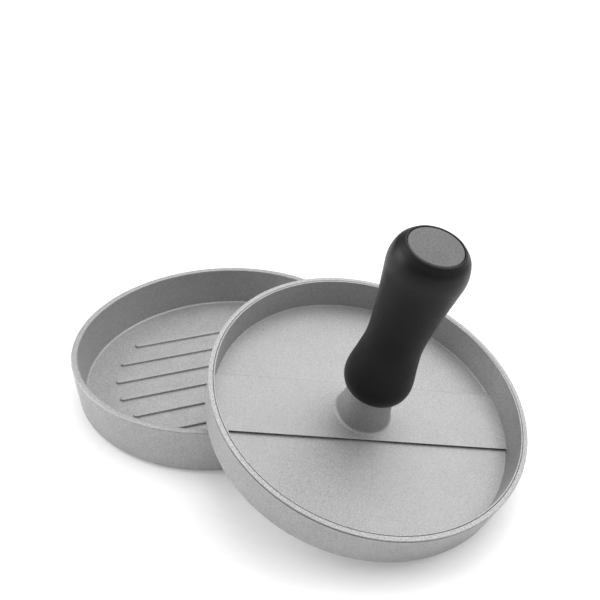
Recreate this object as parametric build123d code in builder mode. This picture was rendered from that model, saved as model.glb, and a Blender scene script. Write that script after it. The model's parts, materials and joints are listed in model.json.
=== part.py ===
from build123d import *
import os
from math import cos, radians, sin, sqrt

# Patty press in millimetres. The dish stands on the table, centred on the origin, with +Z up.
# The press leans on the dish's rim, down towards +X, with its lowest edge on the table.

# Dish: a shallow round casting with a ribbed floor.
DISH_RIM_R = 60.0
DISH_FOOT_R = 58.7
DISH_HEIGHT = 20.0
DISH_WALL = 2.6
DISH_FLOOR = 3.1
DISH_FOOT_ROUND = 3.2
DISH_RIM_ROUND = 0.7
DISH_CORNER_ROUND = 1.6

# Parallel ribs, cast inside the dish and under the press, inside a round field.
RIB_COUNT = 6
RIB_PITCH = 12.0
RIB_WIDTH = 3.0
RIB_FIELD_R = 44.0
DISH_RIB_HEIGHT = 1.0
DISH_RIB_TURN = 62.0
PRESS_RIB_HEIGHT = 1.5
RIB_EDGE_ROUND = 0.4

# Press plate: a ring with a plate near its foot, a raised band across it and a boss.
PRESS_RIM_R = 56.8
PRESS_FOOT_R = 55.5
PRESS_HEIGHT = 16.6
PRESS_WALL = 2.3
PRESS_PLATE = 4.5
PRESS_FOOT_ROUND = 2.1
PRESS_LAND_EDGE = 0.2
PRESS_CORNER_ROUND = 1.0
BAND_WIDTH = 24.6
BAND_STEP = 1.0
BAND_TURN = 50.0
BOSS_BASE_R = 9.8
BOSS_TOP_R = 7.5
BOSS_HEIGHT = 14.6
BOSS_BASE_ROUND = 1.5
BOSS_TOP_ROUND = 0.6
WALL_OVERLAP = 0.6

# How the press leans.
LEAN_ANGLE = 18.5
LEAN_SIDE_SHIFT = 1.0
TABLE_GAP = 0.1
RIM_GAP = 0.2

# Handle: a soft grip on a rigid core, closed by a cap, held by a long M6 screw.
HANDLE_LENGTH = 64.0
GRIP_OUTLINE = [
    (9.4, 0),
    (11.2, 2.0),
    (11.9, 6.3),
    (10.75, 14.5),
    (9.8, 22.5),
    (10.05, 31.0),
    (11.1, 41.5),
    (12.1, 49.5),
    (12.8, 56.1),
    (11.8, 61.0),
    (9.5, 64.0),
]
CORE_OUTLINE = [(8.0, 0), (10.0, 6.3), (8.0, 22.0), (9.3, 41.5), (10.6, 54.0), (8.9, 61.0)]
CAP_WELL_R = 8.9
CAP_R = 8.8
CAP_THICKNESS = 3.0
CAP_EDGE_ROUND = 0.3
CAP_STEM_LENGTH = 9.0
SCREW_WELL_R = 6.3
SCREW_WELL_FLOOR = 37.0
STEM_CLEARANCE = 0.05

# Standard M6 screw and washers.
SCREW_R = 2.95
SCREW_HOLE_R = 3.0
SCREW_PASSAGE_R = 3.3
SCREW_LENGTH = 50.0
SCREW_HEAD_R = 5.0
SCREW_HEAD_HEIGHT = 6.0
SCREW_HEAD_ROUND = 0.4
SOCKET_WIDTH = 5.0
SOCKET_DEPTH = 3.0
TAPPED_DEPTH = 12.0
WASHER_THICKNESS = 1.6
FLAT_WASHER_R = 6.0
FLAT_WASHER_HOLE_R = 3.2
SPRING_WASHER_R = 5.9
SPRING_WASHER_HOLE_R = 3.1
SPRING_WASHER_SPLIT = 1.0

os.makedirs("parts", exist_ok=True)

# Where the press lies: the foot's rounding touches the table, and its ribs touch the rim's rounding.
lean = radians(LEAN_ANGLE)
foot_arc_r = PRESS_FOOT_R - PRESS_FOOT_ROUND
press_z = TABLE_GAP + foot_arc_r * sin(lean) + PRESS_FOOT_ROUND * (1 - cos(lean))
rim_arc_r = DISH_RIM_R - DISH_RIM_ROUND
rim_arc_z = DISH_HEIGHT - DISH_RIM_ROUND
rib_reach = PRESS_RIB_HEIGHT + RIM_GAP + DISH_RIM_ROUND
press_x = rim_arc_r + (rib_reach + (rim_arc_z - press_z) * cos(lean)) / sin(lean)

lean_x = Vector(cos(lean), 0, -sin(lean))
lean_up = Vector(sin(lean), 0, cos(lean))
PRESS = Plane(origin=(press_x, LEAN_SIDE_SHIFT, press_z), x_dir=lean_x, z_dir=lean_up)
PRESS_AXIS = Axis(PRESS.origin, lean_up)
PRESS_SECTION = Plane(origin=PRESS.origin, x_dir=lean_x, z_dir=(0, -1, 0))

band_top = PRESS_PLATE + BAND_STEP
boss_top = band_top + BOSS_HEIGHT
HANDLE = PRESS.offset(boss_top)
HANDLE_AXIS = Axis(HANDLE.origin, lean_up)
HANDLE_SECTION = Plane(origin=HANDLE.origin, x_dir=lean_x, z_dir=(0, -1, 0))
cap_seat = HANDLE_LENGTH - CAP_THICKNESS
head_seat = SCREW_WELL_FLOOR + 2 * WASHER_THICKNESS


def wall_radius(foot_r, rim_r, height, z):
    """Outer radius of a wall that widens evenly from its foot to its rim, at height z."""
    return foot_r + (rim_r - foot_r) * z / height


def rib_field():
    """Draw the ribs: parallel slots that end on the round field's edge."""
    for index in range(RIB_COUNT):
        across = (index - (RIB_COUNT - 1) / 2) * RIB_PITCH
        with Locations((0, across)):
            SlotOverall(2 * sqrt(RIB_FIELD_R**2 - across**2), RIB_WIDTH)


# Dish
dish_inner_foot_r = wall_radius(DISH_FOOT_R, DISH_RIM_R, DISH_HEIGHT, DISH_FLOOR) - DISH_WALL
dish_outline = [
    (0, 0),
    (DISH_FOOT_R, 0),
    (DISH_RIM_R, DISH_HEIGHT),
    (DISH_RIM_R - DISH_WALL, DISH_HEIGHT),
    (dish_inner_foot_r, DISH_FLOOR),
    (0, DISH_FLOOR),
]
dish_rounds = [0, DISH_FOOT_ROUND, DISH_RIM_ROUND, DISH_RIM_ROUND, DISH_CORNER_ROUND, 0]
dish_rib_x = (cos(radians(DISH_RIB_TURN)), sin(radians(DISH_RIB_TURN)), 0)
dish_rib_top = DISH_FLOOR + DISH_RIB_HEIGHT

with BuildPart() as dish:
    with BuildSketch(Plane.XZ):
        with BuildLine():
            FilletPolyline(dish_outline, radius=dish_rounds, close=True)
        make_face()
    revolve(axis=Axis.Z)
    with BuildSketch(Plane(origin=(0, 0, DISH_FLOOR), x_dir=dish_rib_x, z_dir=(0, 0, 1))):
        rib_field()
    extrude(amount=DISH_RIB_HEIGHT)
    fillet(dish.edges().filter_by_position(Axis.Z, dish_rib_top, dish_rib_top), RIB_EDGE_ROUND)
dish.part.label = "dish"
export_step(dish.part, "parts/dish.step")

# Press plate
press_inner_foot_r = wall_radius(PRESS_FOOT_R, PRESS_RIM_R, PRESS_HEIGHT, PRESS_PLATE) - PRESS_WALL
press_outline = [
    (0, 0),
    (PRESS_FOOT_R, 0),
    (PRESS_RIM_R, PRESS_HEIGHT),
    (PRESS_RIM_R - PRESS_WALL, PRESS_HEIGHT),
    (press_inner_foot_r, PRESS_PLATE),
    (0, PRESS_PLATE),
]
press_rounds = [0, PRESS_FOOT_ROUND, PRESS_LAND_EDGE, PRESS_LAND_EDGE, PRESS_CORNER_ROUND, 0]
boss_skirt_r = BOSS_BASE_R + 1.5 * BOSS_BASE_ROUND
boss_outline = [
    (0, PRESS_PLATE),
    (boss_skirt_r, PRESS_PLATE),
    (boss_skirt_r, band_top),
    (BOSS_BASE_R, band_top),
    (BOSS_TOP_R, boss_top),
    (0, boss_top),
]
boss_rounds = [0, 0, 0, BOSS_BASE_ROUND, BOSS_TOP_ROUND, 0]
band_x = lean_x * cos(radians(BAND_TURN)) + Vector(0, sin(radians(BAND_TURN)), 0)

with BuildPart() as press_plate:
    with BuildSketch(PRESS_SECTION):
        with BuildLine():
            FilletPolyline(press_outline, radius=press_rounds, close=True)
        make_face()
    revolve(axis=PRESS_AXIS)
    with BuildSketch(PRESS.offset(PRESS_PLATE)):
        Rectangle(2 * PRESS_RIM_R, BAND_WIDTH, rotation=BAND_TURN)
        Circle(press_inner_foot_r + WALL_OVERLAP, mode=Mode.INTERSECT)
    extrude(amount=BAND_STEP)
    with BuildSketch(PRESS_SECTION):
        with BuildLine():
            FilletPolyline(boss_outline, radius=boss_rounds, close=True)
        make_face()
    revolve(axis=PRESS_AXIS)
    with BuildSketch(PRESS.offset(boss_top)):
        Circle(SCREW_HOLE_R)
    extrude(amount=-TAPPED_DEPTH, mode=Mode.SUBTRACT)
    with BuildSketch(Plane(origin=PRESS.origin, x_dir=band_x, z_dir=lean_up)):
        rib_field()
    extrude(amount=-PRESS_RIB_HEIGHT)
    fillet(press_plate.edges().group_by(PRESS_AXIS)[0], RIB_EDGE_ROUND)
press_plate.part.label = "press_plate"
export_step(press_plate.part, "parts/press_plate.step")

# Handle core
with BuildPart() as handle_core:
    with BuildSketch(HANDLE_SECTION):
        with BuildLine():
            Spline(CORE_OUTLINE)
            Polyline(
                CORE_OUTLINE[-1],
                (SCREW_WELL_R, cap_seat),
                (SCREW_WELL_R, SCREW_WELL_FLOOR),
                (SCREW_PASSAGE_R, SCREW_WELL_FLOOR),
                (SCREW_PASSAGE_R, 0),
                CORE_OUTLINE[0],
            )
        make_face()
    revolve(axis=HANDLE_AXIS)
handle_core.part.label = "handle_core"
export_step(handle_core.part, "parts/handle_core.step")

# Handle grip: the soft skin over the core, with a round well at the top for the cap
with BuildPart() as handle_grip:
    with BuildSketch(HANDLE_SECTION):
        with BuildLine():
            Spline(GRIP_OUTLINE)
            Polyline(GRIP_OUTLINE[-1], (CAP_WELL_R, HANDLE_LENGTH), (CAP_WELL_R, cap_seat))
            Spline(CORE_OUTLINE)
            Line(CORE_OUTLINE[0], GRIP_OUTLINE[0])
        make_face()
    revolve(axis=HANDLE_AXIS)
handle_grip.part.label = "handle_grip"
export_step(handle_grip.part, "parts/handle_grip.step")

# Handle cap: a disc with a stem that plugs the screw's well
stem_r = SCREW_WELL_R - STEM_CLEARANCE
cap_outline = [
    (0, cap_seat - CAP_STEM_LENGTH),
    (stem_r, cap_seat - CAP_STEM_LENGTH),
    (stem_r, cap_seat),
    (CAP_R, cap_seat),
    (CAP_R, HANDLE_LENGTH),
    (0, HANDLE_LENGTH),
]
cap_rounds = [0, CAP_EDGE_ROUND, 0, 0, CAP_EDGE_ROUND, 0]

with BuildPart() as handle_cap:
    with BuildSketch(HANDLE_SECTION):
        with BuildLine():
            FilletPolyline(cap_outline, radius=cap_rounds, close=True)
        make_face()
    revolve(axis=HANDLE_AXIS)
handle_cap.part.label = "handle_cap"
export_step(handle_cap.part, "parts/handle_cap.step")

# Handle screw: M6 socket head, down through the core into the boss
screw_outline = [
    (0, head_seat - SCREW_LENGTH),
    (SCREW_R, head_seat - SCREW_LENGTH),
    (SCREW_R, head_seat),
    (SCREW_HEAD_R, head_seat),
    (SCREW_HEAD_R, head_seat + SCREW_HEAD_HEIGHT),
    (0, head_seat + SCREW_HEAD_HEIGHT),
]
screw_rounds = [0, SCREW_HEAD_ROUND, 0, 0, SCREW_HEAD_ROUND, 0]

with BuildPart() as handle_screw:
    with BuildSketch(HANDLE_SECTION):
        with BuildLine():
            FilletPolyline(screw_outline, radius=screw_rounds, close=True)
        make_face()
    revolve(axis=HANDLE_AXIS)
    with BuildSketch(HANDLE.offset(head_seat + SCREW_HEAD_HEIGHT)):
        RegularPolygon(SOCKET_WIDTH / 2, 6, major_radius=False)
    extrude(amount=-SOCKET_DEPTH, mode=Mode.SUBTRACT)
handle_screw.part.label = "handle_screw"
export_step(handle_screw.part, "parts/handle_screw.step")

# Flat washer, on the floor of the screw's well
with BuildPart() as flat_washer:
    with BuildSketch(HANDLE.offset(SCREW_WELL_FLOOR)):
        Circle(FLAT_WASHER_R)
        Circle(FLAT_WASHER_HOLE_R, mode=Mode.SUBTRACT)
    extrude(amount=WASHER_THICKNESS)
flat_washer.part.label = "flat_washer"
export_step(flat_washer.part, "parts/flat_washer.step")

# Spring washer, split on one side, pressed flat under the screw's head
with BuildPart() as spring_washer:
    with BuildSketch(HANDLE.offset(SCREW_WELL_FLOOR + WASHER_THICKNESS)):
        Circle(SPRING_WASHER_R)
        Circle(SPRING_WASHER_HOLE_R, mode=Mode.SUBTRACT)
        with Locations((SPRING_WASHER_R, 0)):
            Rectangle(SPRING_WASHER_R, SPRING_WASHER_SPLIT, mode=Mode.SUBTRACT)
    extrude(amount=WASHER_THICKNESS)
spring_washer.part.label = "spring_washer"
export_step(spring_washer.part, "parts/spring_washer.step")

print("press origin", round(press_x, 3), LEAN_SIDE_SHIFT, round(press_z, 3))
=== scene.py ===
import json
import logging
import math
from collections.abc import Callable
from dataclasses import dataclass, field
from enum import Enum

import bpy
from mathutils import Matrix, Vector
from mathutils.geometry import interpolate_bezier


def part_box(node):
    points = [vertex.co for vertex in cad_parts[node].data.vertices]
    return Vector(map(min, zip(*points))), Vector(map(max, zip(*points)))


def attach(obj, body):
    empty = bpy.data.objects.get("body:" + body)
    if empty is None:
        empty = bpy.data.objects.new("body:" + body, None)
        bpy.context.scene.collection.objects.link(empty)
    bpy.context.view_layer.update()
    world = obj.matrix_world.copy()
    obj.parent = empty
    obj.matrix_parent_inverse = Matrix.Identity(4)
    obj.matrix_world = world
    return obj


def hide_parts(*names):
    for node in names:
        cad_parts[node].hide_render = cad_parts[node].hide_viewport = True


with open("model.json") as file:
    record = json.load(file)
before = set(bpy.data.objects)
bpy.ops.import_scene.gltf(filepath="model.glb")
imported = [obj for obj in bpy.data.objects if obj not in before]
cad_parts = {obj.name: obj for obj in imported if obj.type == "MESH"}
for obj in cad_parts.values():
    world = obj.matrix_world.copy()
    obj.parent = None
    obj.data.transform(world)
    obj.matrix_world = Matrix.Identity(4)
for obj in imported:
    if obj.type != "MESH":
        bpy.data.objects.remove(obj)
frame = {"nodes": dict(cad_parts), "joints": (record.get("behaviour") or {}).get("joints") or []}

MM = 0.001
LOG = logging.getLogger("patty_press")
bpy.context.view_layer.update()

RingPoint = tuple[float, float]
Corner = tuple[RingPoint, float]
Place = tuple[float, float, float]
Key = str | int

NOISE_SPAN = (0.3, 0.7)  # nearly all of a noise texture's values lie between these
WAVE_RATE = 20.0  # phase of a wave texture, in radians, for each unit of length at a scale of 1
LEVEL = 0.99  # least upright part of a normal that counts as looking straight up or down
ARC_STEPS = 8  # straight pieces in an arc, or between two points of a curve
SLOT_SIDES = 28  # corners of a rib's outline, half of them at each end
CASTING_SMOOTH_DEG = 32.0
HANDLE_SMOOTH_DEG = 40.0


class Body(Enum):
    """The two bodies that move against each other."""

    DISH = "dish"
    PRESS = "press"


class Slot(Enum):
    """Material slots of the record."""

    CAST_ALUMINIUM = "cast_aluminium"
    SOFT_GRIP = "soft_grip"
    CAP_PLASTIC = "cap_plastic"


# ---------------------------------------------------------------- finishes


def srgb(code: str) -> tuple[float, float, float, float]:
    """Turn an sRGB hex colour into linear RGBA.

    Args:
        code: Colour such as "#c8c8c8".

    Returns:
        Linear red, green, blue and an alpha of 1.
    """
    values = [int(code[i : i + 2], 16) / 255 for i in (1, 3, 5)]
    linear = [v / 12.92 if v <= 0.04045 else ((v + 0.055) / 1.055) ** 2.4 for v in values]
    return (linear[0], linear[1], linear[2], 1.0)


def per_metre(size_mm: float) -> float:
    """Texture scale whose features are size_mm across."""
    return 1000.0 / size_mm


def over_noise(low: float, high: float) -> dict[Key, object]:
    """Map Range settings that spread a noise texture's values from low to high."""
    return {"From Min": NOISE_SPAN[0], "From Max": NOISE_SPAN[1], "To Min": low, "To Max": high}


def set_up(
    owner: bpy.types.ID,
    node: bpy.types.Node,
    settings: dict[Key, object],
    links: dict[Key, bpy.types.NodeSocket],
) -> None:
    """Set a node's values and link what comes into it.

    Args:
        owner: The material or world whose tree has the node.
        node: The node.
        settings: Values by property name, or by the name or number of a socket. "stops" gives the
            positions and hex colours of a ramp.
        links: Output sockets by the name or number of the input they feed.
    """
    for key, value in settings.items():
        if key == "stops":
            for stop, (position, code) in zip(node.color_ramp.elements, value):
                stop.position, stop.color = position, srgb(code)
        elif isinstance(key, str) and hasattr(node, key):
            setattr(node, key, value)
        else:
            node.inputs[key].default_value = value
    for key, socket in links.items():
        owner.node_tree.links.new(socket, node.inputs[key])


def add_node(
    owner: bpy.types.ID,
    kind: str,
    settings: dict[Key, object] | None = None,
    links: dict[Key, bpy.types.NodeSocket] | None = None,
) -> bpy.types.Node:
    """Add a node, set it and link what comes into it.

    Args:
        owner: The material or world whose tree gets the node.
        kind: Node type, such as "ShaderNodeTexNoise".
        settings: Values, as set_up takes them.
        links: Output sockets by the name or number of the input they feed.

    Returns:
        The new node.
    """
    node = owner.node_tree.nodes.new(kind)
    set_up(owner, node, settings or {}, links or {})
    return node


def new_material(name: str) -> tuple[bpy.types.Material, bpy.types.Node, bpy.types.NodeSocket]:
    """Make an empty material.

    Args:
        name: Its name, which is the real finish's.

    Returns:
        The material, its Principled shader and the Object coordinates.
    """
    material = bpy.data.materials.new(name)
    material.use_nodes = True
    shader = material.node_tree.nodes["Principled BSDF"]
    coordinates = add_node(material, "ShaderNodeTexCoord").outputs["Object"]
    return material, shader, coordinates


@dataclass(frozen=True)
class BlastedAluminium:
    """Sand-cast aluminium, blasted with fine glass beads.

    To the eye it is a grey satin skin with a fine sparkling grain and faint cloudy drifts.
    """

    name: str = "bead_blasted_cast_aluminium"
    dark: str = "#949494"
    light: str = "#c4c4c4"
    # The beads' dents are nearer 0.1 mm across, too fine to show, so they are drawn coarser.
    grain_mm: float = 0.42
    mottle_mm: float = 9.0
    mottle_swing: float = 0.025
    roughness_low: float = 0.6
    roughness_high: float = 0.74
    dent_mm: float = 0.03
    dent_strength: float = 0.5

    def build(self) -> bpy.types.Material:
        """Make the material.

        Returns:
            The new material.
        """
        material, shader, place = new_material(self.name)
        grain = add_node(
            material,
            "ShaderNodeTexNoise",
            {"Scale": per_metre(self.grain_mm), "Detail": 3.0, "Roughness": 0.65},
            {"Vector": place},
        ).outputs["Fac"]
        mottle = add_node(
            material,
            "ShaderNodeTexNoise",
            {"Scale": per_metre(self.mottle_mm), "Detail": 4.0, "Roughness": 0.55},
            {"Vector": place},
        ).outputs["Fac"]
        drift = add_node(
            material,
            "ShaderNodeMapRange",
            over_noise(-self.mottle_swing, self.mottle_swing),
            {"Value": mottle},
        ).outputs["Result"]
        total = add_node(
            material, "ShaderNodeMath", {"operation": "ADD"}, {0: grain, 1: drift}
        ).outputs["Value"]
        colour = add_node(
            material,
            "ShaderNodeValToRGB",
            {"stops": tuple(zip(NOISE_SPAN, (self.dark, self.light)))},
            {"Fac": total},
        ).outputs["Color"]
        rough = add_node(
            material,
            "ShaderNodeMapRange",
            over_noise(self.roughness_low, self.roughness_high),
            {"Value": total},
        ).outputs["Result"]
        dents = add_node(
            material,
            "ShaderNodeBump",
            {"Strength": self.dent_strength, "Distance": self.dent_mm * MM},
            {"Height": grain},
        ).outputs["Normal"]
        set_up(
            material,
            shader,
            {"Metallic": 1.0},
            {"Base Color": colour, "Roughness": rough, "Normal": dents},
        )
        return material


@dataclass(frozen=True)
class TurnedAluminium:
    """Aluminium faced on a lathe, as on the press's rim.

    To the eye it is cleaner and brighter than the blasted skin, with fine rings round the axis.
    """

    centre: Vector
    lean: float
    name: str = "lathe_faced_aluminium"
    dark: str = "#808080"
    light: str = "#c2c2c2"
    # A facing cut leaves rings nearer 0.1 mm apart, too fine to show, so they are drawn coarser.
    ring_mm: float = 0.5
    ring_depth_mm: float = 0.01
    ring_strength: float = 0.25
    grain_mm: float = 0.45
    grain_span: tuple[float, float] = (0.25, 0.75)
    roughness: float = 0.6

    def build(self) -> bpy.types.Material:
        """Make the material, with its rings round the press's axis.

        Returns:
            The new material.
        """
        material, shader, place = new_material(self.name)
        upright = add_node(
            material,
            "ShaderNodeMapping",
            {"vector_type": "TEXTURE", "Location": self.centre, "Rotation": (0.0, self.lean, 0.0)},
            {"Vector": place},
        ).outputs["Vector"]
        rings = add_node(
            material,
            "ShaderNodeTexWave",
            {
                "wave_type": "RINGS",
                "rings_direction": "Z",
                "Scale": per_metre(self.ring_mm) * 2 * math.pi / WAVE_RATE,
                "Distortion": 0.6,
                "Detail": 2.0,
            },
            {"Vector": upright},
        ).outputs["Fac"]
        grain = add_node(
            material,
            "ShaderNodeTexNoise",
            {"Scale": per_metre(self.grain_mm), "Detail": 2.0},
            {"Vector": upright},
        ).outputs["Fac"]
        colour = add_node(
            material,
            "ShaderNodeValToRGB",
            {"stops": tuple(zip(self.grain_span, (self.dark, self.light)))},
            {"Fac": grain},
        ).outputs["Color"]
        cuts = add_node(
            material,
            "ShaderNodeBump",
            {"Strength": self.ring_strength, "Distance": self.ring_depth_mm * MM},
            {"Height": rings},
        ).outputs["Normal"]
        set_up(
            material,
            shader,
            {"Metallic": 1.0, "Roughness": self.roughness},
            {"Base Color": colour, "Normal": cuts},
        )
        return material


@dataclass(frozen=True)
class GrainedPlastic:
    """Moulded plastic with an even fine grain.

    To the eye it is dull, with broad highlights that change slightly where it has been handled.
    The real grain is nearer 0.1 mm, too fine to show, so grain_mm is coarser.
    """

    name: str
    dark: str
    light: str
    grain_mm: float
    roughness_low: float
    roughness_high: float
    dent_mm: float
    specular: float = 0.5
    handling_mm: float = 14.0
    dent_strength: float = 0.6

    def build(self) -> bpy.types.Material:
        """Make the material.

        Returns:
            The new material.
        """
        material, shader, place = new_material(self.name)
        grain = add_node(
            material,
            "ShaderNodeTexNoise",
            {"Scale": per_metre(self.grain_mm), "Detail": 3.0, "Roughness": 0.6},
            {"Vector": place},
        ).outputs["Fac"]
        handling = add_node(
            material,
            "ShaderNodeTexNoise",
            {"Scale": per_metre(self.handling_mm), "Detail": 3.0},
            {"Vector": place},
        ).outputs["Fac"]
        colour = add_node(
            material,
            "ShaderNodeValToRGB",
            {"stops": tuple(zip(NOISE_SPAN, (self.dark, self.light)))},
            {"Fac": grain},
        ).outputs["Color"]
        rough = add_node(
            material,
            "ShaderNodeMapRange",
            over_noise(self.roughness_low, self.roughness_high),
            {"Value": handling},
        ).outputs["Result"]
        dents = add_node(
            material,
            "ShaderNodeBump",
            {"Strength": self.dent_strength, "Distance": self.dent_mm * MM},
            {"Height": grain},
        ).outputs["Normal"]
        set_up(
            material,
            shader,
            {"Specular IOR Level": self.specular},
            {"Base Color": colour, "Roughness": rough, "Normal": dents},
        )
        return material


# Thermoplastic elastomer, moulded over the core: near black, with one broad dull highlight.
SOFT_TOUCH = GrainedPlastic(
    name="soft_touch_elastomer",
    dark="#030304",
    light="#080809",
    grain_mm=0.3,
    roughness_low=0.36,
    roughness_high=0.5,
    dent_mm=0.01,
    specular=0.27,
)
# ABS, moulded against spark-eroded steel: mid grey and matt, with a grain that catches the light.
SPARK_ERODED = GrainedPlastic(
    name="spark_eroded_plastic",
    dark="#4a4a4b",
    light="#6c6c6e",
    grain_mm=0.5,
    roughness_low=0.45,
    roughness_high=0.6,
    dent_mm=0.05,
)
# Nylon with short glass fibres: charcoal, with a slightly cloudy skin.
GLASS_FILLED = GrainedPlastic(
    name="glass_filled_nylon",
    dark="#101011",
    light="#1a1a1b",
    grain_mm=0.6,
    roughness_low=0.45,
    roughness_high=0.6,
    dent_mm=0.02,
)


@dataclass(frozen=True)
class PlatedSteel:
    """Zinc plating on a steel screw and washers: bright and slightly blue, with drifts of grey."""

    name: str = "zinc_plated_steel"
    dark: str = "#a8abb0"
    light: str = "#c9ccd0"
    drift_mm: float = 2.5
    roughness: float = 0.3

    def build(self) -> bpy.types.Material:
        """Make the material.

        Returns:
            The new material.
        """
        material, shader, place = new_material(self.name)
        drift = add_node(
            material,
            "ShaderNodeTexNoise",
            {"Scale": per_metre(self.drift_mm), "Detail": 5.0},
            {"Vector": place},
        ).outputs["Fac"]
        colour = add_node(
            material,
            "ShaderNodeValToRGB",
            {"stops": tuple(zip(NOISE_SPAN, (self.dark, self.light)))},
            {"Fac": drift},
        ).outputs["Color"]
        set_up(
            material,
            shader,
            {"Metallic": 1.0, "Roughness": self.roughness},
            {"Base Color": colour},
        )
        return material


@dataclass(frozen=True)
class StudioPaper:
    """Matt white background paper on a softly lit table, which keeps the shadows on it light."""

    name: str = "white_studio_paper"
    dark: str = "#e9e9e9"
    light: str = "#ececec"
    # Clumps of fibre are under 1 mm, too fine to show, so they are drawn coarser.
    fibre_mm: float = 3.0
    roughness: float = 0.9
    specular: float = 0.1
    glow: float = 0.17

    def build(self) -> bpy.types.Material:
        """Make the material.

        Returns:
            The new material.
        """
        material, shader, place = new_material(self.name)
        fibre = add_node(
            material,
            "ShaderNodeTexNoise",
            {"Scale": per_metre(self.fibre_mm), "Detail": 2.0},
            {"Vector": place},
        ).outputs["Fac"]
        colour = add_node(
            material,
            "ShaderNodeValToRGB",
            {"stops": tuple(zip(NOISE_SPAN, (self.dark, self.light)))},
            {"Fac": fibre},
        ).outputs["Color"]
        set_up(
            material,
            shader,
            {
                "Roughness": self.roughness,
                "Specular IOR Level": self.specular,
                "Emission Color": srgb("#ffffff"),
                "Emission Strength": self.glow,
            },
            {"Base Color": colour},
        )
        return material


# ---------------------------------------------------------------- modelling


def deselect_all() -> None:
    """Leave object mode with nothing selected."""
    if bpy.context.mode != "OBJECT":
        bpy.ops.object.mode_set(mode="OBJECT")
    bpy.ops.object.select_all(action="DESELECT")


def only(piece: bpy.types.Object) -> None:
    """Select one object and make it active.

    Args:
        piece: The object.
    """
    deselect_all()
    piece.select_set(True)
    bpy.context.view_layer.objects.active = piece


def clear_picks(piece: bpy.types.Object, kind: str) -> None:
    """Deselect all of a piece's mesh, ready to pick by place or normal in object mode.

    Args:
        piece: The piece.
        kind: What is to be picked: "VERT", "EDGE" or "FACE".
    """
    only(piece)
    bpy.ops.object.mode_set(mode="EDIT")
    bpy.ops.mesh.select_mode(type=kind)
    bpy.ops.mesh.select_all(action="DESELECT")
    bpy.ops.object.mode_set(mode="OBJECT")


def shift(piece: bpy.types.Object, chosen: Callable[[Vector], bool], offset: Place) -> None:
    """Move the vertices that pass a test.

    Args:
        piece: The piece to change.
        chosen: Test of a vertex's place, in metres.
        offset: How far they move, in millimetres.
    """
    clear_picks(piece, "VERT")
    for vertex in piece.data.vertices:
        vertex.select = chosen(vertex.co)
    bpy.ops.object.mode_set(mode="EDIT")
    bpy.ops.transform.translate(value=tuple(part * MM for part in offset))
    bpy.ops.object.mode_set(mode="OBJECT")


def pick_faces(piece: bpy.types.Object, upward: bool) -> None:
    """Enter edit mode with only the faces that look straight up, or straight down, selected.

    Args:
        piece: The piece.
        upward: Whether the faces look up.
    """
    clear_picks(piece, "FACE")
    sign = 1 if upward else -1
    for face in piece.data.polygons:
        face.select = sign * face.normal.z > LEVEL
    bpy.ops.object.mode_set(mode="EDIT")


def close_up(sleeve: bool = False) -> None:
    """Close the mesh in edit mode, point its faces outwards and bake its place into it.

    Args:
        sleeve: Whether the two open ends join each other; otherwise each is covered.
    """
    bpy.ops.mesh.select_mode(type="EDGE")
    bpy.ops.mesh.select_all(action="DESELECT")
    bpy.ops.mesh.select_non_manifold()
    if sleeve:
        bpy.ops.mesh.bridge_edge_loops()
    else:
        bpy.ops.mesh.fill_holes(sides=0)
    bpy.ops.mesh.select_all(action="SELECT")
    bpy.ops.mesh.normals_make_consistent(inside=False)
    bpy.ops.object.mode_set(mode="OBJECT")
    bpy.ops.object.transform_apply(location=True, rotation=True, scale=True)


def rounded(profile: list[Corner], steps: int = ARC_STEPS) -> list[RingPoint]:
    """Round the corners of an open outline with arcs.

    Args:
        profile: Corners of the outline, each with its radius, in millimetres; 0 leaves it sharp.
        steps: Straight pieces in each arc.

    Returns:
        The outline with its arcs as points.
    """
    outline: list[RingPoint] = []
    for index, (corner, radius) in enumerate(profile):
        if radius == 0:
            outline.append(corner)
            continue
        here = Vector(corner)
        before = (Vector(profile[index - 1][0]) - here).normalized()
        after = (Vector(profile[index + 1][0]) - here).normalized()
        half = before.angle(after) / 2
        middle = here + (before + after).normalized() * radius / math.sin(half)
        start = here + before * radius / math.tan(half) - middle
        sweep = (math.pi - 2 * half) * (1 if before.cross(after) < 0 else -1)
        for step in range(steps + 1):
            arm = Matrix.Rotation(sweep * step / steps, 2) @ start
            outline.append(tuple(middle + arm))
    return outline


def smooth_through(points: tuple[RingPoint, ...], steps: int = ARC_STEPS) -> list[RingPoint]:
    """Draw a smooth curve through points, straight on at its ends.

    Args:
        points: Points on the curve, in millimetres.
        steps: Straight pieces between two points.

    Returns:
        Points along the curve.
    """
    spots = [Vector(p) for p in points]
    ends = [2 * spots[0] - spots[1]] + spots + [2 * spots[-1] - spots[-2]]
    outline: list[RingPoint] = [points[0]]
    for before, here, there, after in zip(ends, ends[1:], ends[2:], ends[3:]):
        handle_here = here + (there - before) / 6
        handle_there = there - (after - here) / 6
        run = interpolate_bezier(here, handle_here, handle_there, there, steps + 1)
        outline += [(p.x, p.y) for p in run[1:]]
    return outline


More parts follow.
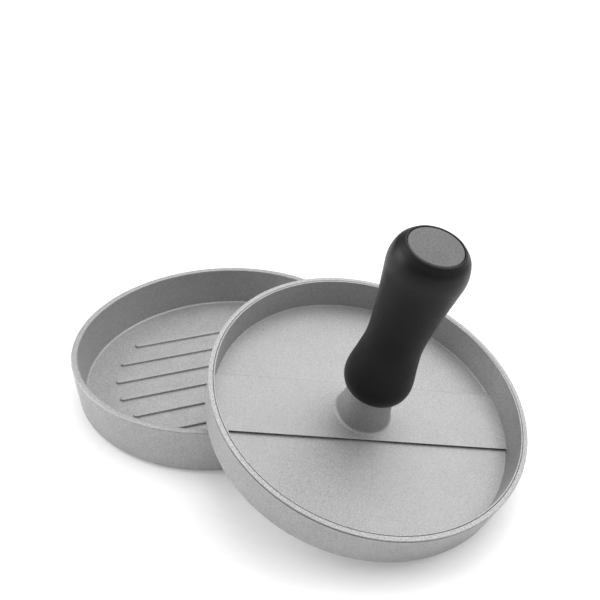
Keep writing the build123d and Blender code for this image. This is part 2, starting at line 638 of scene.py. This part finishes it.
def turn_on_lathe(
    name: str, outline: list[RingPoint], segments: int, sleeve: bool = False
) -> bpy.types.Object:
    """Turn an outline round the upright axis, ring by ring.

    Args:
        name: The piece's name.
        outline: Radius and height of each ring, in millimetres, from one end to the other.
        segments: Sides round the axis.
        sleeve: Whether the last ring joins the first, which leaves a hole through the piece;
            otherwise both end rings are covered.

    Returns:
        A closed piece that stands upright on the origin.
    """
    deselect_all()
    radius, height = outline[0]
    bpy.ops.mesh.primitive_circle_add(
        vertices=segments, radius=radius * MM, location=(0, 0, height * MM)
    )
    piece = bpy.context.object
    piece.name = name
    bpy.ops.object.mode_set(mode="EDIT")
    bpy.ops.mesh.select_mode(type="EDGE")
    bpy.ops.mesh.select_all(action="SELECT")
    for (r0, z0), (r1, z1) in zip(outline, outline[1:]):
        bpy.ops.mesh.extrude_edges_move(
            TRANSFORM_OT_translate={"value": (0, 0, (z1 - z0) * MM)}
        )
        bpy.ops.transform.resize(value=(r1 / r0, r1 / r0, 1))
    close_up(sleeve)
    return piece


def raise_slot(
    name: str, length: float, steps: list[RingPoint], width: float, base: float
) -> bpy.types.Object:
    """Raise a round-ended rib from its outline by insets.

    Args:
        name: The rib's name.
        length: Overall length of its foot, in millimetres.
        steps: How far in and how far up each inset goes, in millimetres.
        width: Width of its foot, in millimetres.
        base: Height of its foot, in millimetres.

    Returns:
        A closed rib along X, centred on the upright axis.
    """
    deselect_all()
    centre = (0, 0, base * MM)
    bpy.ops.mesh.primitive_circle_add(
        vertices=SLOT_SIDES, radius=width / 2 * MM, fill_type="NGON", location=centre
    )
    rib = bpy.context.object
    rib.name = name
    bpy.ops.object.mode_set(mode="EDIT")
    bpy.ops.transform.rotate(
        value=math.pi / SLOT_SIDES, orient_axis="Z", center_override=centre
    )
    bpy.ops.object.mode_set(mode="OBJECT")
    stretch = (length - width) / 2
    shift(rib, lambda spot: spot.x > 0, (stretch, 0, 0))
    shift(rib, lambda spot: spot.x < 0, (-stretch, 0, 0))
    bpy.ops.object.mode_set(mode="EDIT")
    bpy.ops.mesh.select_mode(type="FACE")
    bpy.ops.mesh.select_all(action="SELECT")
    for inwards, upwards in steps:
        if inwards:
            bpy.ops.mesh.inset(thickness=inwards * MM, depth=upwards * MM)
        else:
            bpy.ops.mesh.extrude_region_move(
                TRANSFORM_OT_translate={"value": (0, 0, upwards * MM)}
            )
    close_up()
    return rib


def place(piece: bpy.types.Object, matrix: Matrix) -> None:
    """Put a piece in its place and bake the place into its mesh.

    Args:
        piece: The piece.
        matrix: Where it goes from where it is.
    """
    only(piece)
    piece.matrix_world = matrix @ piece.matrix_world
    bpy.ops.object.transform_apply(location=True, rotation=True, scale=True)


def weld(piece: bpy.types.Object, addition: bpy.types.Object) -> None:
    """Join a second closed shape to a piece as one skin.

    Args:
        piece: The piece that stays.
        addition: The shape that goes into it.
    """
    only(piece)
    union = piece.modifiers.new("union", "BOOLEAN")
    union.operation, union.solver, union.object = "UNION", "EXACT", addition
    bpy.ops.object.modifier_apply(modifier=union.name)
    bpy.data.objects.remove(addition)


def shade(piece: bpy.types.Object, angle_deg: float) -> None:
    """Shade a piece smooth, with its large faces kept flat.

    Args:
        piece: The piece.
        angle_deg: Edges that turn by less than this are smooth.
    """
    only(piece)
    bpy.ops.object.shade_smooth_by_angle(angle=math.radians(angle_deg))
    weighted = piece.modifiers.new("weighted_normals", "WEIGHTED_NORMAL")
    weighted.keep_sharp = True
    bpy.ops.object.modifier_apply(modifier=weighted.name)


def hand_over(piece: bpy.types.Object, body: Body, node: str) -> None:
    """Tell the frame what a finished piece is.

    Args:
        piece: The piece.
        body: The body that it rides on.
        node: The CAD node that it stands for.
    """
    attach(piece, body.value)
    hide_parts(node)
    LOG.info("%s rides on %s, %d faces", piece.name, body.value, len(piece.data.polygons))


# ---------------------------------------------------------------- the object


@dataclass
class RibField:
    """Parallel round-ended ribs inside a round field."""

    height: float
    turn_deg: float
    count: int = 6
    pitch: float = 12.0
    width: float = 3.0
    field_radius: float = 44.0
    margin: float = 6.0
    flare: float = 0.3
    crown: float = 0.35
    sink: float = 0.04
    arc_steps: int = 4

    def clear_radius(self) -> float:
        """Radius of the flat disc that the field needs, with its margin."""
        return self.field_radius + self.margin

    def section(self) -> list[RingPoint]:
        """Draw the rib's side: a hollow flare at its foot, then a round crown.

        Returns:
            How far in and how far up each inset goes, in millimetres.
        """
        steps: list[RingPoint] = []
        angles = [math.pi / 2 * step / self.arc_steps for step in range(self.arc_steps + 1)]
        for a, b in zip(angles, angles[1:]):
            inwards, upwards = math.sin(b) - math.sin(a), math.cos(a) - math.cos(b)
            steps.append((self.flare * inwards, self.flare * upwards))
        straight = self.height + self.sink - self.flare - self.crown
        if straight > 0:
            steps.append((0.0, straight))
        for a, b in zip(angles, angles[1:]):
            inwards, upwards = math.cos(a) - math.cos(b), math.sin(b) - math.sin(a)
            steps.append((self.crown * inwards, self.crown * upwards))
        return steps

    def build(self, name: str, floor: float) -> bpy.types.Object:
        """Model the ribs upright.

        Args:
            name: Name of the joined ribs.
            floor: Height of the face they stand on, in millimetres.

        Returns:
            All ribs as one object.
        """
        ribs = []
        foot = 2 * self.flare
        turn = Matrix.Rotation(math.radians(self.turn_deg), 4, "Z")
        for index in range(self.count):
            across = (index - (self.count - 1) / 2) * self.pitch
            length = 2 * math.sqrt(self.field_radius**2 - across**2)
            rib = raise_slot(
                f"{name}_{index}",
                length + foot,
                self.section(),
                self.width + foot,
                floor - self.sink,
            )
            place(rib, turn @ Matrix.Translation((0, across * MM, 0)))
            ribs.append(rib)
        deselect_all()
        for rib in ribs:
            rib.select_set(True)
        bpy.context.view_layer.objects.active = ribs[0]
        bpy.ops.object.join()
        ribs[0].name = name
        return ribs[0]


@dataclass
class Dish:
    """The round ribbed dish that the meat goes into."""

    rim_radius: float = 60.0
    foot_radius: float = 58.7
    height: float = 20.0
    wall: float = 2.6
    floor: float = 3.1
    foot_round: float = 3.2
    rim_round: float = 0.7
    corner_round: float = 0.9
    segments: int = 240
    ribs: RibField = field(default_factory=lambda: RibField(height=1.0, turn_deg=62.0))

    def outline(self) -> list[RingPoint]:
        """Draw the half section, from the middle of the underside round to that of the floor.

        Returns:
            Radius and height of each point, in millimetres.
        """
        draft = self.rim_radius - self.foot_radius
        inner_foot = self.foot_radius + draft * self.floor / self.height - self.wall
        return rounded(
            [
                ((self.ribs.clear_radius(), 0.0), 0.0),
                ((self.foot_radius, 0.0), self.foot_round),
                ((self.rim_radius, self.height), self.rim_round),
                ((self.rim_radius - self.wall, self.height), self.rim_round),
                ((inner_foot, self.floor), self.corner_round),
                ((self.ribs.clear_radius(), self.floor), 0.0),
            ]
        )

    def build(self, skin: bpy.types.Material) -> None:
        """Model and dress the dish.

        Args:
            skin: Its finish.
        """
        casting = turn_on_lathe("dish_casting", self.outline(), self.segments)
        weld(casting, self.ribs.build("dish_ribs", self.floor))
        shade(casting, CASTING_SMOOTH_DEG)
        casting.data.materials.append(skin)
        hand_over(casting, Body.DISH, "dish")


@dataclass
class PressFrame:
    """Where the press leans: its axis and the middle of its underside."""

    washer_middle: float = 57.9
    up: Vector = field(init=False)
    origin: Vector = field(init=False)
    matrix: Matrix = field(init=False)

    def __post_init__(self) -> None:
        """Take the lean from the joint and the place from the washer on the press's axis."""
        lift = next(joint for joint in frame["joints"] if joint["name"] == "press_lift")
        self.up = Vector(lift["axis"]).normalized()
        low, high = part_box("flat_washer")
        self.origin = (Vector(low) + Vector(high)) / 2 - self.up * self.washer_middle * MM
        self.matrix = Matrix.Translation(self.origin) @ Matrix.Rotation(self.lean(), 4, "Y")

    def lean(self) -> float:
        """Angle of the axis from upright, in radians."""
        return math.atan2(self.up.x, self.up.z)


@dataclass
class Press:
    """The press casting: a ring, a plate with a raised band, a boss and the ribs underneath."""

    seat: PressFrame
    # The ring and its plate. The ring's radius keeps a hair inside the CAD's.
    rim_radius: float = 56.79
    foot_radius: float = 55.5
    height: float = 16.6
    wall: float = 2.3
    plate: float = 4.5
    foot_round: float = 2.1
    corner_round: float = 0.35
    segments: int = 240
    # The faced rim, between two fine grooves that show as dark lines.
    land_edge: float = 0.2
    land_inner_edge: float = 0.15
    land_level: float = 0.9
    land_reach: float = 0.1
    land_start: float = 0.9
    groove_drop: float = 0.32
    groove_width: float = 0.5
    groove_depth: float = 0.7
    groove_flare: float = 0.05
    land_groove_width: float = 0.3
    land_groove_depth: float = 0.45
    land_groove_inset: float = 0.45
    # The raised band.
    band_width: float = 24.6
    band_step: float = 1.0
    band_turn_deg: float = 50.0
    band_half_length: float = 53.9
    band_sink: float = 1.0
    band_chamfer_run: float = 0.25
    band_chamfer_rise: float = 0.04
    rear_chamfer_run: float = 0.35
    rear_chamfer_rise: float = 0.1
    undercut_height: float = 0.8
    undercut_depth: float = 1.1
    # The boss, whose skirt is buried in the band.
    boss_base: float = 9.8
    boss_top: float = 7.5
    boss_height: float = 14.6
    boss_base_round: float = 1.5
    boss_top_round: float = 0.6
    skirt_reach: float = 1.35
    skirt_sink: float = 0.05
    hole_radius: float = 3.0
    hole_depth: float = 12.0
    ribs: RibField = field(default_factory=lambda: RibField(height=1.5, turn_deg=-50.0))

    def outline(self) -> list[RingPoint]:
        """Draw the half section, from the underside round the ring to the bottom of the hole.

        Returns:
            Radius and height of each point, in millimetres.
        """
        draft = self.rim_radius - self.foot_radius
        inner_foot = self.foot_radius + draft * self.plate / self.height - self.wall
        band_top = self.plate + self.band_step
        boss_top = band_top + self.boss_height
        skirt = self.boss_base + self.skirt_reach * self.boss_base_round
        return rounded(
            [
                ((self.ribs.clear_radius(), 0.0), 0.0),
                ((self.foot_radius, 0.0), self.foot_round),
                *((point, 0.0) for point in self.groove()),
                ((self.rim_radius, self.height), self.land_edge),
                *((point, 0.0) for point in self.land_groove()),
                ((self.rim_radius - self.wall, self.height), self.land_inner_edge),
                ((inner_foot, self.plate), self.corner_round),
                ((skirt, self.plate), 0.0),
                ((skirt, band_top - self.skirt_sink), 0.0),
                ((self.boss_base, band_top - self.skirt_sink), self.boss_base_round),
                ((self.boss_top, boss_top), self.boss_top_round),
                ((self.hole_radius, boss_top), 0.0),
                ((self.hole_radius, boss_top - self.hole_depth), 0.0),
            ]
        )

    def groove(self) -> list[RingPoint]:
        """Draw the fine turned groove round the outside, just under the faced rim.

        Returns:
            Its four corners, from below.
        """
        taper = (self.rim_radius - self.foot_radius) / self.height
        low = self.height - self.groove_drop - self.groove_width
        high = self.height - self.groove_drop
        deep = self.rim_radius - taper * self.groove_drop - self.groove_depth
        return [
            (self.rim_radius - taper * (self.height - low), low),
            (deep, low + self.groove_flare),
            (deep, high - self.groove_flare),
            (self.rim_radius - taper * (self.height - high), high),
        ]

    def land_groove(self) -> list[RingPoint]:
        """Draw the fine groove in the faced rim, near its inner edge.

        Returns:
            Its three corners, from outside.
        """
        inner = self.rim_radius - self.wall + self.land_groove_inset
        return [
            (inner + self.land_groove_width, self.height),
            (inner + self.land_groove_width / 2, self.height - self.land_groove_depth),
            (inner, self.height),
        ]

    def band(self) -> bpy.types.Object:
        """Model the raised band: a lip over an undercut that casts a dark line.

        Returns:
            A closed bar that starts below the plate and ends inside the wall.
        """
        deselect_all()
        lip = self.band_step - self.undercut_height
        flat = lip - self.band_chamfer_rise
        middle = self.plate + self.undercut_height + flat / 2
        bpy.ops.mesh.primitive_cube_add(size=1, location=(0, 0, middle * MM))
        bar = bpy.context.object
        bar.name = "band"
        bar.dimensions = (2 * self.band_half_length * MM, self.band_width * MM, flat * MM)
        bpy.ops.object.transform_apply(location=True, rotation=True, scale=True)
        pick_faces(bar, upward=True)
        bpy.ops.mesh.inset(
            thickness=self.band_chamfer_run * MM, depth=self.band_chamfer_rise * MM
        )
        bpy.ops.object.mode_set(mode="OBJECT")
        # Each limit lies between two rows of corners: in front of the rear edge's inset row,
        # under the inset face, and above the lip's underside.
        rear = (self.band_width / 2 - 1.5 * self.band_chamfer_run) * MM
        top = (self.plate + self.band_step - self.band_chamfer_rise / 2) * MM
        foot = (self.plate + self.undercut_height + lip / 4) * MM
        shift(bar, lambda spot: spot.y > rear and spot.z > top, (0, -self.rear_chamfer_run, 0))
        shift(
            bar,
            lambda spot: spot.y > rear and foot < spot.z < top,
            (0, 0, -self.rear_chamfer_rise),
        )
        pick_faces(bar, upward=False)
        bpy.ops.mesh.inset(thickness=self.undercut_depth * MM)
        bpy.ops.mesh.extrude_region_move(
            TRANSFORM_OT_translate={"value": (0, 0, -(self.undercut_height + self.band_sink) * MM)}
        )
        bpy.ops.object.mode_set(mode="OBJECT")
        place(bar, Matrix.Rotation(math.radians(self.band_turn_deg), 4, "Z"))
        return bar

    def is_land(self, face: bpy.types.MeshPolygon) -> bool:
        """Tell whether a face of the upright casting belongs to the faced rim.

        Args:
            face: The face.

        Returns:
            True if it looks up, at the rim's height, near the wall.
        """
        return (
            face.normal.z > self.land_level
            and face.center.z > (self.height - self.land_reach) * MM
            and face.center.xy.length > self.foot_radius * self.land_start * MM
        )

    def build(self, skin: bpy.types.Material, land: bpy.types.Material) -> None:
        """Model and dress the casting.

        Args:
            skin: Its finish.
            land: The finish of its faced rim.
        """
        casting = turn_on_lathe("press_casting", self.outline(), self.segments)
        weld(casting, self.band())
        ribs = self.ribs.build("press_ribs", 0.0)
        place(ribs, Matrix.Rotation(math.pi, 4, "X"))
        weld(casting, ribs)
        casting.data.materials.append(skin)
        casting.data.materials.append(land)
        for face in casting.data.polygons:
            face.material_index = int(self.is_land(face))
        shade(casting, CASTING_SMOOTH_DEG)
        place(casting, self.seat.matrix)
        hand_over(casting, Body.PRESS, "press_plate")


@dataclass
class Handle:
    """The turned handle: a soft skin and a cap let into its top.

    Heights are from the handle's foot, and outlines are radius and height of each point.
    """

    seat: PressFrame
    foot: float = 20.1
    length: float = 64.0
    segments: int = 160
    side: tuple[RingPoint, ...] = (
        (9.4, 0.0),
        (11.2, 2.0),
        (11.9, 6.3),
        (10.75, 14.5),
        (9.8, 22.5),
        (10.05, 31.0),
        (11.1, 41.5),
        (12.1, 49.5),
        (12.8, 56.1),
        (11.8, 61.0),
        (9.6, 63.8),
    )
    lip: tuple[RingPoint, ...] = ((9.3, 63.94), (9.0, 63.88), (8.9, 63.65))
    core_side: tuple[RingPoint, ...] = (
        (8.9, 61.0),
        (10.6, 54.0),
        (9.3, 41.5),
        (8.0, 22.0),
        (10.0, 6.3),
        (8.0, 0.0),
    )
    cap_radius: float = 8.8
    cap_thickness: float = 3.0
    cap_crown: float = 0.05
    cap_edge: float = 0.5
    stem_radius: float = 6.25
    stem_length: float = 9.0
    stem_edge: float = 0.3
    pole_radius: float = 1.0

    def raised(self, outline: list[RingPoint]) -> list[RingPoint]:
        """The outline, lifted onto the boss."""
        return [(radius, height + self.foot) for radius, height in outline]

    def finish(self, piece: bpy.types.Object, skin: bpy.types.Material) -> None:
        """Shade a turned piece, dress it and lean it with the press.

        Args:
            piece: The piece, upright.
            skin: Its finish.
        """
        shade(piece, HANDLE_SMOOTH_DEG)
        piece.data.materials.append(skin)
        place(piece, self.seat.matrix)

    def build_skin(self, finish: bpy.types.Material) -> None:
        """Model the skin: its outside, the lip of the cap's well and its inside.

        Args:
            finish: Its finish.
        """
        outline = [*smooth_through(self.side), *self.lip, *smooth_through(self.core_side)]
        skin = turn_on_lathe("grip_skin", self.raised(outline), self.segments, sleeve=True)
        self.finish(skin, finish)
        hand_over(skin, Body.PRESS, "handle_grip")

    def build_cap(self, finish: bpy.types.Material) -> None:
        """Model the cap: a slightly crowned disc with an eased edge, on a stem.

        Args:
            finish: Its finish.
        """
        seat = self.length - self.cap_thickness
        outline = rounded(
            [
                ((self.pole_radius, seat - self.stem_length), 0.0),
                ((self.stem_radius, seat - self.stem_length), self.stem_edge),
                ((self.stem_radius, seat), 0.0),
                ((self.cap_radius, seat), 0.0),
                ((self.cap_radius, self.length - self.cap_crown), self.cap_edge),
                ((self.pole_radius, self.length), 0.0),
            ]
        )
        cap = turn_on_lathe("cap_disc", self.raised(outline), self.segments)
        self.finish(cap, finish)
        hand_over(cap, Body.PRESS, "handle_cap")


# ---------------------------------------------------------------- the studio


@dataclass(frozen=True)
class Softbox:
    """A square lamp with an even face."""

    name: str
    place_m: Place
    size_m: float
    watts: float

    def hang(self, target: Vector) -> None:
        """Hang the lamp.

        Args:
            target: Where it faces, in metres.
        """
        lamp = bpy.data.lights.new(self.name, "AREA")
        lamp.shape, lamp.size, lamp.energy = "SQUARE", self.size_m, self.watts
        box = bpy.data.objects.new(self.name, lamp)
        bpy.context.scene.collection.objects.link(box)
        box.location = self.place_m
        facing = target - Vector(self.place_m)
        box.rotation_euler = facing.to_track_quat("-Z", "Y").to_euler()


@dataclass
class Studio:
    """Paper floor, soft lights and the camera."""

    paper: bpy.types.Material
    paper_size_m: float = 6.0
    paper_drop_m: float = 0.0001
    camera_place_mm: Place = (218.22, -178.57, 206.16)
    camera_aim_mm: Place = (3.12, 43.89, 20.0)
    camera_roll_deg: float = -0.5
    camera_lens: float = 49.09
    camera_sensor: float = 36.0
    camera_clip_m: tuple[float, float] = (0.01, 20.0)
    # The surround is brightest towards bright_side and dims as directions turn from it.
    bright_side: Place = (0.15, 0.42, 0.9)
    dimmest_cosine: float = 0.1
    dim_strength: float = 0.12
    bright_strength: float = 1.3
    backdrop_strength: float = 1.0
    target_m: Place = (0.05, 0.0, 0.02)
    softboxes: tuple[Softbox, ...] = (
        Softbox("top_softbox", (0.22, 0.42, 1.15), size_m=1.2, watts=9.0),
        Softbox("left_softbox", (-0.75, -0.55, 0.55), size_m=0.8, watts=8.5),
    )

    def floor(self) -> None:
        """Lay the paper on the table's plane."""
        deselect_all()
        bpy.ops.mesh.primitive_plane_add(
            size=self.paper_size_m, location=(0, 0, -self.paper_drop_m)
        )
        sheet = bpy.context.object
        sheet.name = "paper_floor"
        sheet.data.materials.append(self.paper)

    def surround(self) -> None:
        """Light all directions from above and behind, with plain white where it is looked at."""
        world = bpy.data.worlds.new("surround")
        bpy.context.scene.world = world
        world.use_nodes = True
        direction = add_node(world, "ShaderNodeTexCoord").outputs["Generated"]
        towards_bright = add_node(
            world,
            "ShaderNodeVectorMath",
            {"operation": "DOT_PRODUCT", 1: Vector(self.bright_side).normalized()},
            {0: direction},
        ).outputs["Value"]
        graded = add_node(
            world,
            "ShaderNodeMapRange",
            {
                "From Min": self.dimmest_cosine,
                "From Max": 1.0,
                "To Min": self.dim_strength,
                "To Max": self.bright_strength,
            },
            {"Value": towards_bright},
        ).outputs["Result"]
        seen = add_node(world, "ShaderNodeLightPath").outputs["Is Camera Ray"]
        strength = add_node(
            world,
            "ShaderNodeMix",
            {"B": self.backdrop_strength},
            {"Factor": seen, "A": graded},
        ).outputs["Result"]
        background = world.node_tree.nodes["Background"]
        set_up(world, background, {"Color": (1.0, 1.0, 1.0, 1.0)}, {"Strength": strength})

    def light(self) -> None:
        """Light the object softly from all round and from the softboxes."""
        self.surround()
        for softbox in self.softboxes:
            softbox.hang(Vector(self.target_m))
        bpy.context.scene.view_settings.view_transform = "Standard"

    def camera(self) -> None:
        """Set the camera up at its viewpoint."""
        lens = bpy.data.cameras.new("viewpoint")
        lens.lens, lens.sensor_width = self.camera_lens, self.camera_sensor
        lens.clip_start, lens.clip_end = self.camera_clip_m
        camera = bpy.data.objects.new("viewpoint", lens)
        bpy.context.scene.collection.objects.link(camera)
        spot, aim = Vector(self.camera_place_mm) * MM, Vector(self.camera_aim_mm) * MM
        turn = (aim - spot).to_track_quat("-Z", "Y").to_matrix().to_4x4()
        roll = Matrix.Rotation(math.radians(self.camera_roll_deg), 4, "Z")
        camera.matrix_world = Matrix.Translation(spot) @ turn @ roll
        bpy.context.scene.camera = camera


def dress_nodes(finishes: dict[str, bpy.types.Material]) -> None:
    """Give CAD nodes that stay their finish.

    Args:
        finishes: The finish of each node, by the node's name.
    """
    for node, finish in finishes.items():
        slots = frame["nodes"][node].data.materials
        slots.clear()
        slots.append(finish)
        LOG.info("%s wears %s", node, finish.name)


def main() -> None:
    """Build the studio, the dish and the press."""
    logging.basicConfig(level=logging.INFO, format="%(name)s: %(message)s")
    seat = PressFrame()
    blasted = BlastedAluminium().build()
    turned = TurnedAluminium(centre=seat.origin, lean=seat.lean()).build()
    soft, capped, moulded = SOFT_TOUCH.build(), SPARK_ERODED.build(), GLASS_FILLED.build()
    plated = PlatedSteel().build()
    studio = Studio(StudioPaper().build())
    studio.floor()
    studio.light()
    studio.camera()
    Dish().build(blasted)
    Press(seat).build(blasted, turned)
    handle = Handle(seat)
    handle.build_skin(soft)
    handle.build_cap(capped)
    dress_nodes(
        {
            "handle_core": moulded,
            "handle_screw": plated,
            "flat_washer": plated,
            "spring_washer": plated,
        }
    )


if __name__ == "__main__":
    main()
